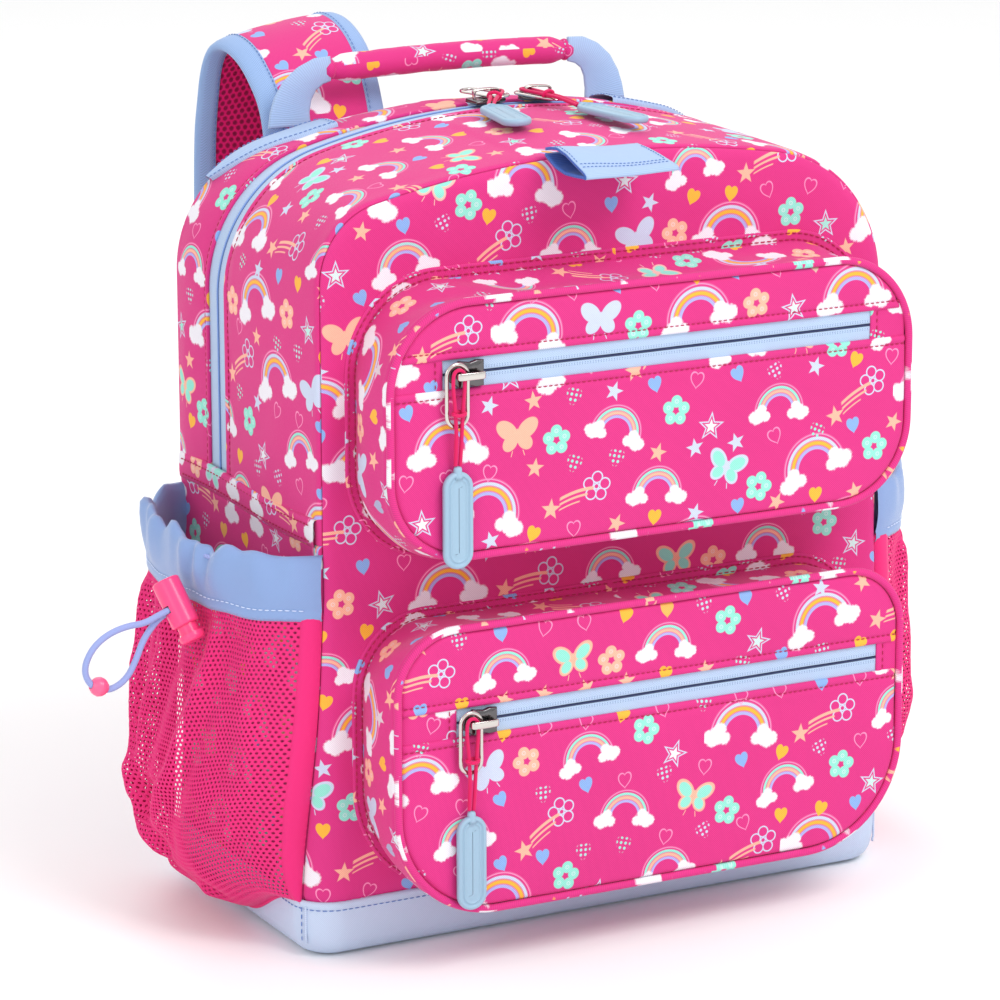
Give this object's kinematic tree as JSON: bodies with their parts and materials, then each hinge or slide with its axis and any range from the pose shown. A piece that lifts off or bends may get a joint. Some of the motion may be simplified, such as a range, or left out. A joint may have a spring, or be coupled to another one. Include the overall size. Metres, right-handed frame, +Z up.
{
  "type": "school backpack",
  "caption": "Child's school backpack, pink printed twill with light-blue base and zips, front pockets, mesh bottle pockets and a cord lock.",
  "frame": {"origin": "centre of the base's underside, on the floor the bag stands on", "axes": "+X to the right in the front view, across the bag; +Y from the zipped front towards the wearer's back; +Z up"},
  "size_m": [0.4226, 0.2956, 0.3872],
  "materials": {
    "printed_twill": "hot-pink polyester twill with a scattered printed pattern",
    "blue_fabric": "light-blue twill and webbing",
    "zip_tape": "light-blue woven tape with a dark coil",
    "pocket_mesh": "pink open knitted mesh",
    "dark_nickel": "dark bright nickel plating",
    "pink_cord": "pink braided cord",
    "blue_rubber": "pale-blue moulded rubber",
    "coral_plastic": "coral-pink moulded plastic",
    "blue_cord": "periwinkle elastic cord",
    "blue_plastic": "light-blue moulded acetal",
    "spring_steel": "plain drawn wire",
    "inner_lining": "grey lining cloth"
  },
  "bodies": {
    "bag": {"back_foam": "inner_lining", "back_panel": "printed_twill", "back_yoke": "blue_fabric", "base_board": "inner_lining", "base_boot": "blue_fabric", "cord_lock_barrel": "coral_plastic", "cord_lock_spring": "spring_steel", "drawcord_bead": "coral_plastic", "drawcord_loop": "blue_cord", "front_panel": "printed_twill", "gusset_front": "printed_twill", "gusset_rear": "printed_twill", "hem_cords": "blue_cord", "ladder_locks": "blue_plastic", "lining": "inner_lining", "upper_pocket_gusset": "printed_twill", "upper_pocket_piping": "printed_twill", "upper_pocket_face_top": "printed_twill", "upper_pocket_face_bottom": "printed_twill", "upper_pocket_zip_ends": "printed_twill", "upper_pocket_zip_chain": "zip_tape", "lower_pocket_gusset": "printed_twill", "lower_pocket_piping": "printed_twill", "lower_pocket_face_top": "printed_twill", "lower_pocket_face_bottom": "printed_twill", "lower_pocket_zip_ends": "printed_twill", "lower_pocket_zip_chain": "zip_tape", "main_zip_chain": "zip_tape", "mesh_pocket_left": "pocket_mesh", "mesh_pocket_right": "pocket_mesh", "pocket_hem_left": "blue_fabric", "pocket_hem_right": "blue_fabric", "side_panel_left": "printed_twill", "side_panel_right": "printed_twill", "strap_pad_left": "printed_twill", "strap_pad_right": "printed_twill", "strap_webbing_left": "blue_fabric", "strap_webbing_right": "blue_fabric", "wing_tabs": "blue_fabric"},
    "upper_slider": {"upper_slider": "dark_nickel"},
    "upper_pull": {"upper_pull_ring": "dark_nickel", "upper_pull_cord": "pink_cord"},
    "upper_tab": {"upper_pull_tab": "blue_rubber"},
    "lower_slider": {"lower_slider": "dark_nickel"},
    "lower_pull": {"lower_pull_ring": "dark_nickel", "lower_pull_cord": "pink_cord"},
    "lower_tab": {"lower_pull_tab": "blue_rubber"},
    "main_left_slider": {"main_left_slider": "dark_nickel"},
    "main_left_pull": {"main_left_pull_ring": "dark_nickel", "main_left_pull_cord": "pink_cord"},
    "main_left_tab": {"main_left_pull_tab": "blue_rubber"},
    "main_right_slider": {"main_right_slider": "dark_nickel"},
    "main_right_pull": {"main_right_pull_ring": "dark_nickel", "main_right_pull_cord": "pink_cord"},
    "main_right_tab": {"main_right_pull_tab": "blue_rubber"},
    "handle": {"handle_grip": "printed_twill", "handle_webbing": "blue_fabric"},
    "hang_loop": {"hang_loop": "blue_fabric"},
    "lock_plunger": {"cord_lock_plunger": "coral_plastic"}
  },
  "joints": [
    {"name": "upper_zip_travel", "type": "slide", "parent": "bag", "child": "upper_slider", "axis": [1, 0, 0], "range_m": [0, 0.19]},
    {"name": "upper_pull_swing", "type": "hinge", "parent": "upper_slider", "child": "upper_pull", "pos_m": [-0.099, -0.119, 0.2705], "axis": [0, -1, 0], "range_deg": [-80, 45]},
    {"name": "upper_tab_lift", "type": "hinge", "parent": "upper_pull", "child": "upper_tab", "pos_m": [-0.099, -0.1226, 0.2295], "axis": [-1, 0, 0], "range_deg": [0, 80]},
    {"name": "lower_zip_travel", "type": "slide", "parent": "bag", "child": "lower_slider", "axis": [1, 0, 0], "range_m": [0, 0.19]},
    {"name": "lower_pull_swing", "type": "hinge", "parent": "lower_slider", "child": "lower_pull", "pos_m": [-0.093, -0.119, 0.1155], "axis": [0, -1, 0], "range_deg": [-80, 45]},
    {"name": "lower_tab_lift", "type": "hinge", "parent": "lower_pull", "child": "lower_tab", "pos_m": [-0.093, -0.1226, 0.0745], "axis": [-1, 0, 0], "range_deg": [0, 80]},
    {"name": "main_left_travel", "type": "hinge", "parent": "bag", "child": "main_left_slider", "pos_m": [0, 0.03, 0.013], "axis": [0, -1, 0], "range_deg": [0, 14]},
    {"name": "main_left_pull_swing", "type": "hinge", "parent": "main_left_slider", "child": "main_left_pull", "pos_m": [0, 0.03, 0.35704], "axis": [-0.0145, 0, 0.9999], "range_deg": [-25, 20]},
    {"name": "main_left_tab_lift", "type": "hinge", "parent": "main_left_pull", "child": "main_left_tab", "pos_m": [-0.0171, 0.00411, 0.35999], "axis": [-0.9866, 0.1628, -0.0121], "range_deg": [0, 80]},
    {"name": "main_right_travel", "type": "hinge", "parent": "bag", "child": "main_right_slider", "pos_m": [0, 0.03, 0.013], "axis": [0, 1, 0], "range_deg": [0, 11.5]},
    {"name": "main_right_pull_swing", "type": "hinge", "parent": "main_right_slider", "child": "main_right_pull", "pos_m": [0.015, 0.03, 0.35671], "axis": [0.0581, 0, 0.9983], "range_deg": [-15, 25]},
    {"name": "main_right_tab_lift", "type": "hinge", "parent": "main_right_pull", "child": "main_right_tab", "pos_m": [0.02213, -0.0104, 0.3595], "axis": [-0.9838, -0.1698, 0.0573], "range_deg": [0, 80]},
    {"name": "handle_fold", "type": "hinge", "parent": "bag", "child": "handle", "pos_m": [0, 0.0795, 0.346], "axis": [1, 0, 0], "range_deg": [-10, 45]},
    {"name": "hang_loop_fold", "type": "hinge", "parent": "bag", "child": "hang_loop", "pos_m": [-0.01, -0.0785, 0.3535], "axis": [1, 0, 0], "range_deg": [0, 45]},
    {"name": "cord_lock_press", "type": "slide", "parent": "bag", "child": "lock_plunger", "axis": [-0.2408, 0.4815, 0.8427], "range_m": [0, 0.004], "stiffness_N_per_m": 250, "springref_m": -0.001}
  ]
}
